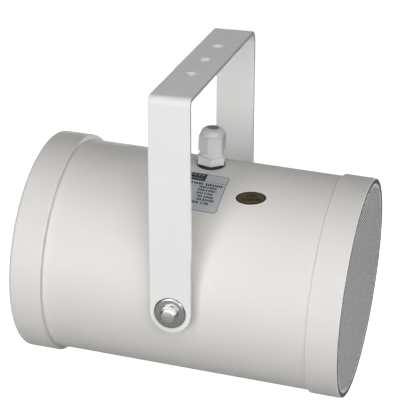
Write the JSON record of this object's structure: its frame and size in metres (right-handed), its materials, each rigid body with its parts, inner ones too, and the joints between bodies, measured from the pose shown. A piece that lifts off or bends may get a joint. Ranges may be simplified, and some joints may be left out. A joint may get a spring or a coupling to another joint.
{
  "type": "projection speaker",
  "caption": "Cylindrical weatherproof projection loudspeaker with a pierced round front, cable gland on top and a U-shaped steel bracket in which the housing tilts.",
  "frame": {"origin": "centre of the middle hole of the bracket's bridge, on its outer face", "axes": "+Z out of the bridge towards the surface that the bracket is fixed to, -Y the way the speaker faces, X along the bridge and the tilt axis"},
  "size_m": [0.1806, 0.2355, 0.231],
  "materials": {
    "bracket_paint": "smooth white powder coat, semi-gloss",
    "housing_plastic": "fine moulded texture, warm white",
    "grille_paint": "grey-white paint on pierced steel",
    "grille_cloth": "black woven cloth",
    "baffle_board": "pressed board",
    "black_rubber": "moulded rubber",
    "grey_rubber": "grey moulded rubber",
    "frame_paint": "black enamel",
    "zinc_plate": "zinc plated",
    "ferrite": "sintered ferrite",
    "coil_copper": "enamelled copper wire",
    "cone_paper": "pressed paper",
    "cap_paper": "pressed felt",
    "spider_cloth": "resin-treated cloth",
    "stainless": "polished stainless steel",
    "gland_plastic": "light grey moulded nylon, semi-gloss",
    "laminations": "varnished stacked steel sheets",
    "winding_tape": "yellow insulating tape",
    "terminal_plastic": "natural nylon",
    "tag_board": "brown laminate",
    "red_lead": "PVC sleeve",
    "black_lead": "PVC sleeve",
    "label_foil": "printed satin foil",
    "seal_foil": "dark bronze film"
  },
  "bodies": {
    "bracket": {"bracket": "bracket_paint"},
    "housing": {"body_tube": "housing_plastic", "rear_cap": "housing_plastic", "front_bezel": "housing_plastic", "grille": "grille_paint", "grille_cloth": "grille_cloth", "baffle_ring": "baffle_board", "speaker_gasket": "black_rubber", "speaker_frame": "frame_paint", "top_plate": "zinc_plate", "magnet_ring": "ferrite", "pole_yoke": "zinc_plate", "cone_surround": "black_rubber", "speaker_spider": "spider_cloth", "driver_screws": "zinc_plate", "gland_washer": "black_rubber", "gland_body": "gland_plastic", "gland_nut": "gland_plastic", "gland_seal": "grey_rubber", "gland_locknut": "gland_plastic", "transformer_core": "laminations", "transformer_winding": "winding_tape", "transformer_clamp": "zinc_plate", "transformer_screws": "zinc_plate", "terminal_block": "terminal_plastic", "terminal_block_screw": "zinc_plate", "tag_strip": "tag_board", "speaker_lead_one": "red_lead", "speaker_lead_two": "black_lead", "line_lead_one": "red_lead", "line_lead_two": "black_lead", "rating_label": "label_foil", "inspection_sticker": "seal_foil", "flat_washer_left": "stainless", "spring_washer_left": "stainless", "pivot_bolt_left": "stainless", "pivot_spacer_left": "black_rubber", "stiffener_left": "zinc_plate", "pivot_nut_left": "stainless", "flat_washer_right": "stainless", "spring_washer_right": "stainless", "pivot_bolt_right": "stainless", "pivot_spacer_right": "black_rubber", "stiffener_right": "zinc_plate", "pivot_nut_right": "stainless"},
    "diaphragm": {"speaker_cone": "cone_paper", "voice_coil": "coil_copper", "dust_cap": "cap_paper"}
  },
  "joints": [
    {"name": "tilt", "type": "hinge", "parent": "bracket", "child": "housing", "pos_m": [0, 0, -0.14925], "axis": [1, 0, 0], "range_deg": [-92.7, 87.3]},
    {"name": "cone_travel", "type": "slide", "parent": "housing", "child": "diaphragm", "axis": [0, -0.9989, -0.0471], "range_m": [-0.003, 0.003], "stiffness_N_per_m": 2000, "deforming": ["cone_surround", "speaker_spider"]}
  ]
}
